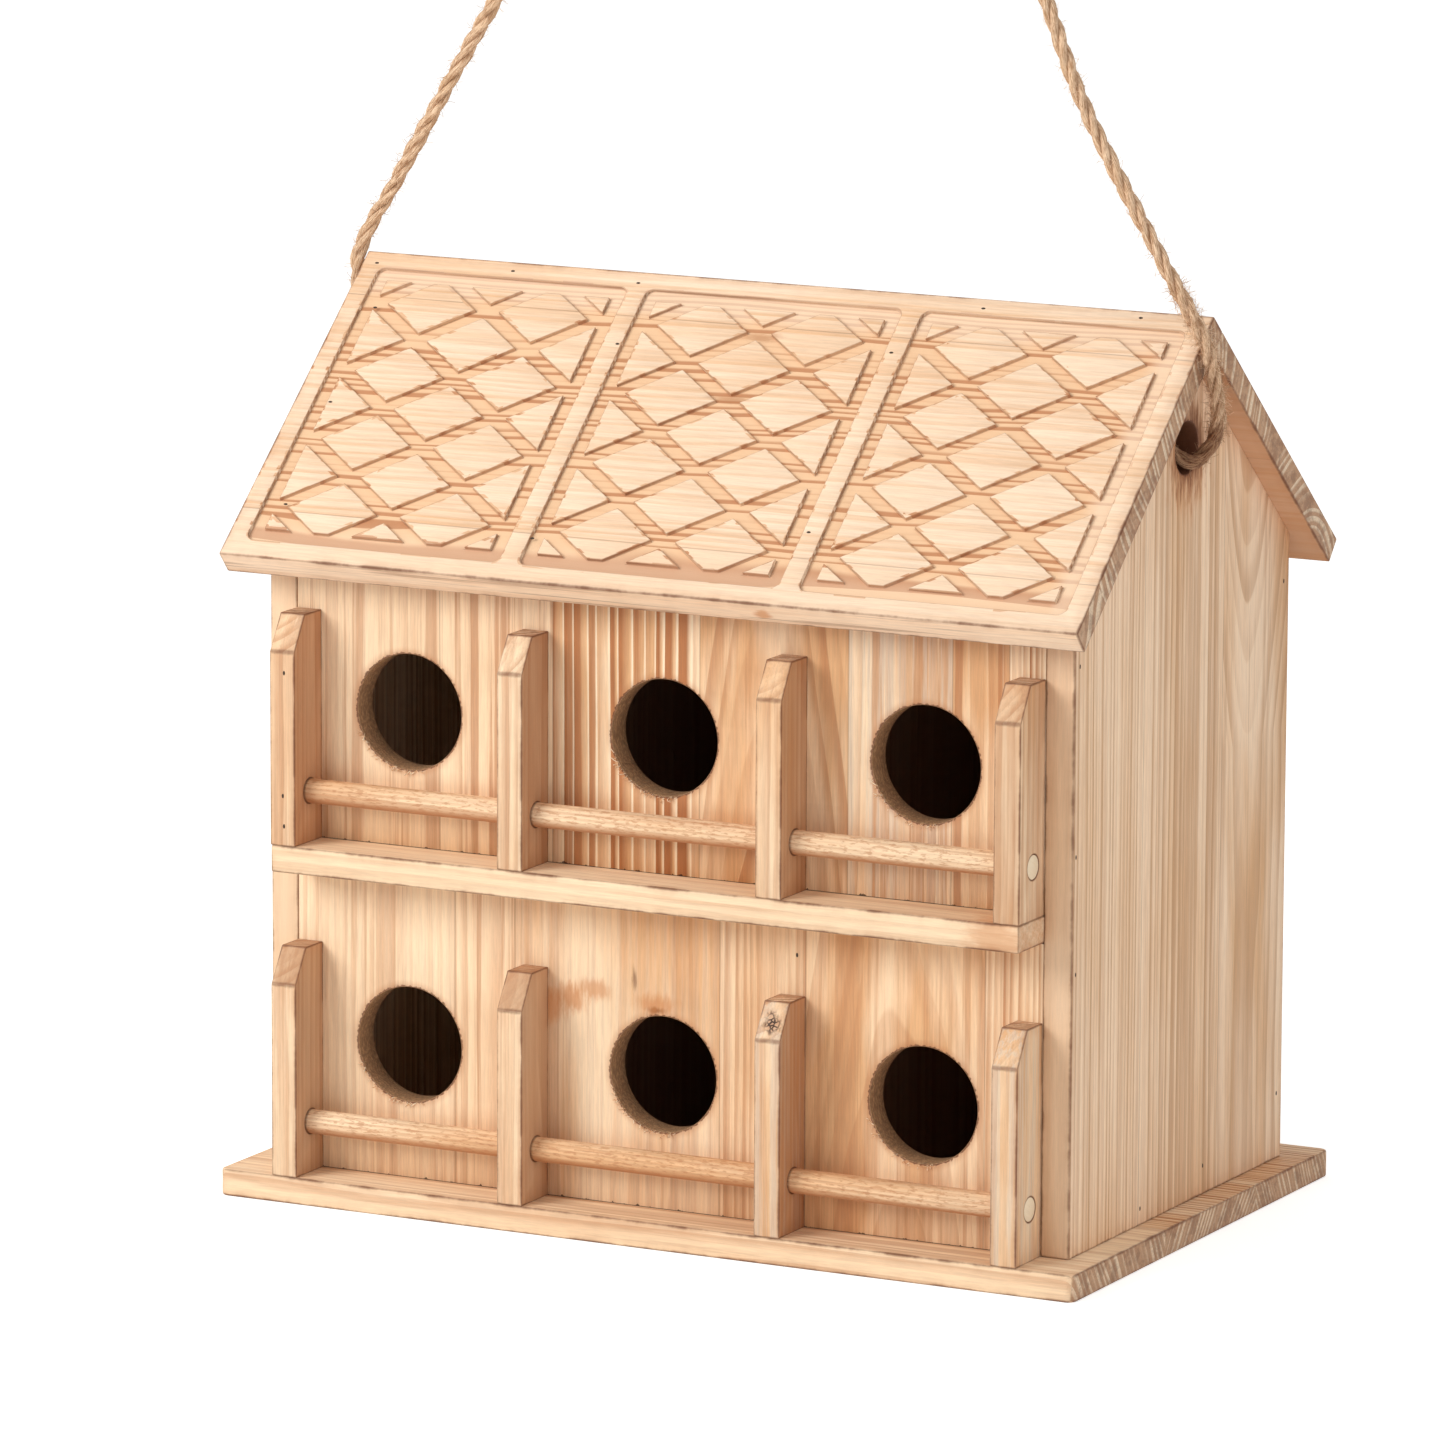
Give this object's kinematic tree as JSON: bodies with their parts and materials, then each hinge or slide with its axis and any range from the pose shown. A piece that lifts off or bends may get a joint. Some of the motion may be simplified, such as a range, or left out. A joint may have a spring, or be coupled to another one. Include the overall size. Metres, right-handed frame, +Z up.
{
  "type": "hanging birdhouse with several holes",
  "caption": "Wooden birdhouse with round entrance holes, perch rails on posts, a carved gable roof and a hanging rope.",
  "frame": {"origin": "middle of the underside of everything but the rope", "axes": "+X to the right along the front, +Y from the front to the back, +Z up"},
  "size_m": [0.319, 0.199, 0.552],
  "materials": {
    "base": "matt, torch-burnt and brushed",
    "side_wall": "matt, torch-burnt and brushed",
    "back_wall": "matt, torch-burnt and brushed",
    "front_wall": "matt, torch-burnt and brushed",
    "ledge": "matt, torch-burnt and brushed",
    "divider": "matt, torch-burnt and brushed",
    "carved_roof": "matt, torch-burnt and brushed",
    "plain_roof": "matt, torch-burnt and brushed",
    "perch": "matt, torch-burnt and brushed",
    "post": "matt, torch-burnt and brushed",
    "rope": "twisted natural fibre",
    "brad": "dull, darkened"
  },
  "bodies": {
    "root": {"base_board": "base", "left_side_wall": "side_wall", "right_side_wall": "side_wall", "back_wall": "back_wall", "lower_front_wall": "front_wall", "upper_front_wall": "front_wall", "middle_floor": "ledge", "lower_left_divider": "divider", "lower_right_divider": "divider", "upper_left_divider": "divider", "upper_right_divider": "divider", "front_roof_board": "carved_roof", "rear_roof_board": "plain_roof", "lower_perch": "perch", "upper_perch": "perch", "rope": "rope", "left_knot": "rope", "right_knot": "rope", "lower_post_1": "post", "lower_post_2": "post", "lower_post_3": "post", "lower_post_4": "post", "upper_post_1": "post", "upper_post_2": "post", "upper_post_3": "post", "upper_post_4": "post"}
  },
  "joints": []
}
